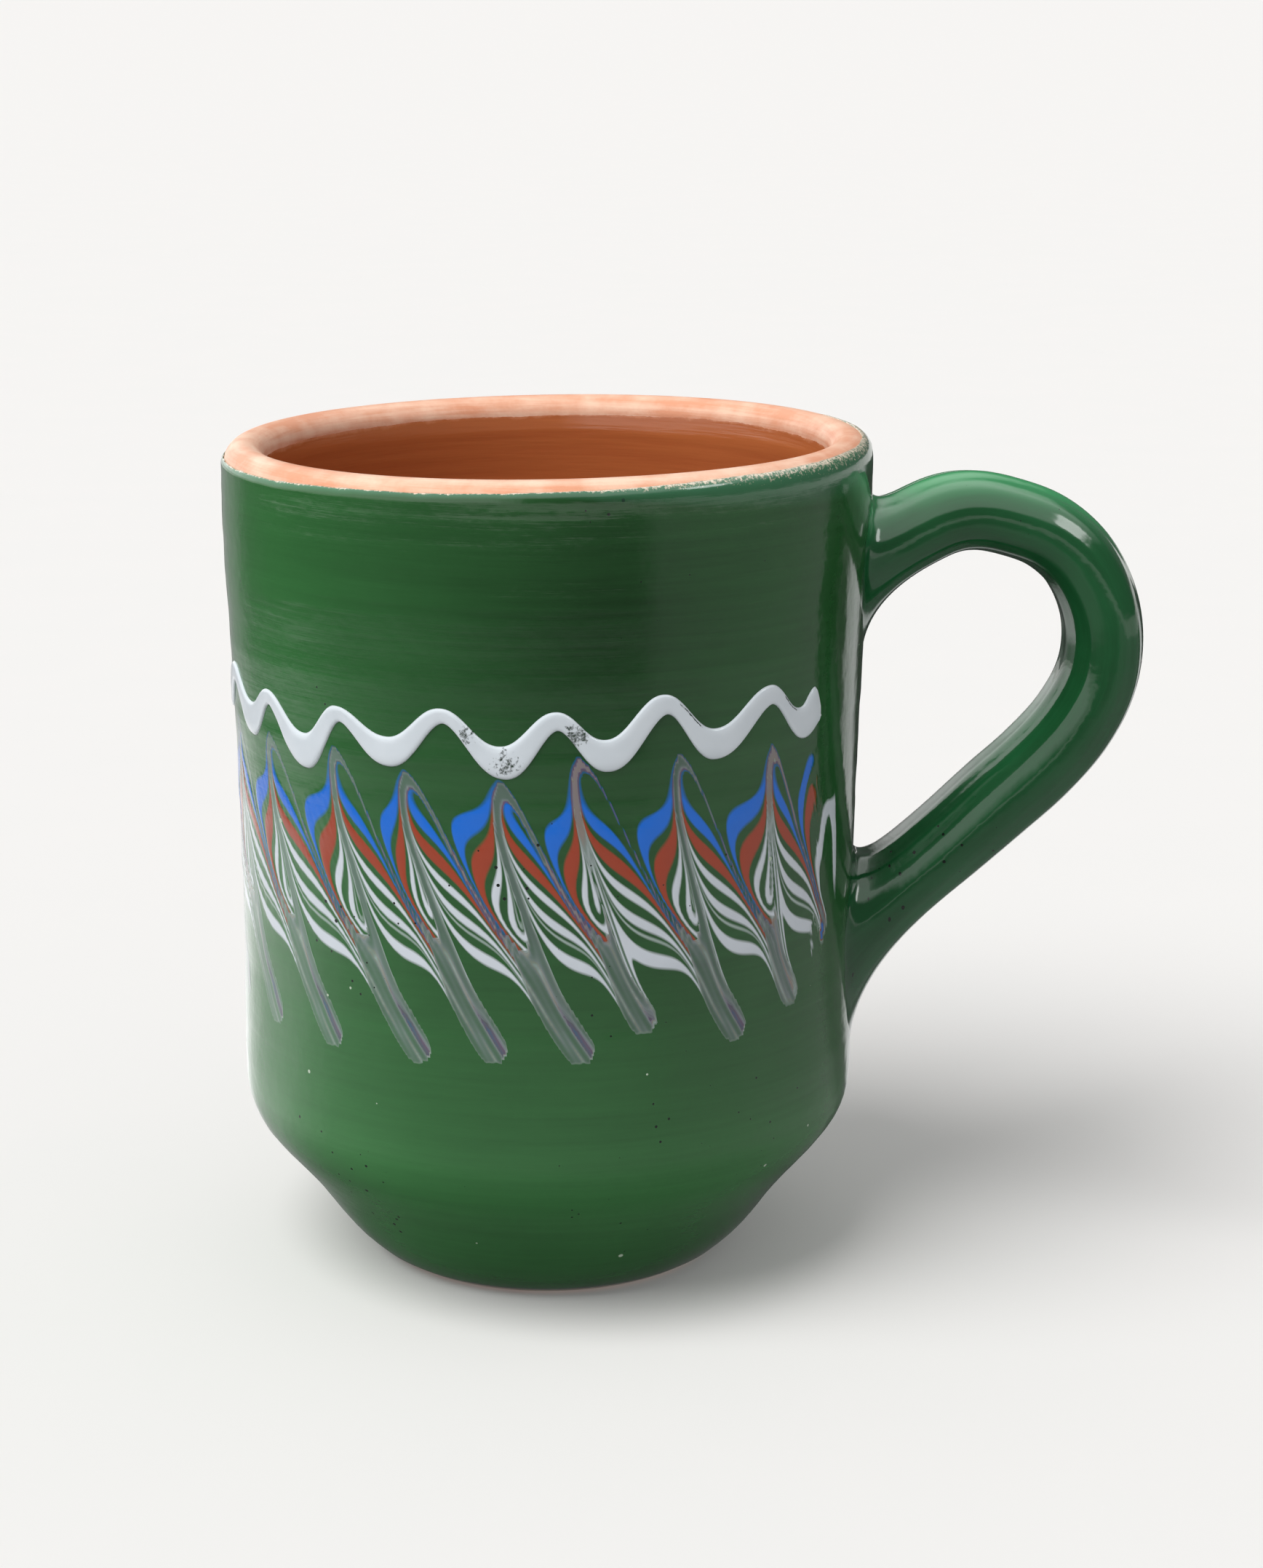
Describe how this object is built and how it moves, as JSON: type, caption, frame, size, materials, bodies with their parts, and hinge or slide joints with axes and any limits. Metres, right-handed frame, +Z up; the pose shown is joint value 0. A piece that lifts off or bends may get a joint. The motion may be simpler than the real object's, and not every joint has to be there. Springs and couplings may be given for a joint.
{
  "type": "mug",
  "caption": "Hand-thrown terracotta mug with a tapering foot and a looped strap handle, green glaze outside, clear glaze inside, a raised white wave line and feathered slip.",
  "frame": {"origin": "centre of the flat base, on the cup's axis", "axes": "+Z up along the cup's axis, +X towards the handle, -Y towards the decorated front of the picture"},
  "size_m": [0.1263, 0.0882, 0.1156],
  "materials": {
    "terracotta": "bare fired clay, slightly burnished at the rim",
    "green_glaze": "glossy copper-green coat brushed over the clay",
    "clear_glaze": "glossy clear glaze over terracotta",
    "white_slip": "white slip under a glossy glaze",
    "blue_slip": "blue slip under a glossy glaze",
    "red_slip": "brick-red slip under a glossy glaze",
    "pale_slip": "mixed slip under a glossy glaze"
  },
  "bodies": {
    "root": {"clay_body": "terracotta", "handle": "terracotta", "upper_joint_clay": "terracotta", "lower_joint_clay": "terracotta", "body_glaze": "green_glaze", "handle_glaze": "green_glaze", "inner_glaze": "clear_glaze", "white_wave": "white_slip", "blue_slip": "blue_slip", "red_slip": "red_slip", "white_slip": "white_slip", "pale_slip": "pale_slip"}
  },
  "joints": []
}
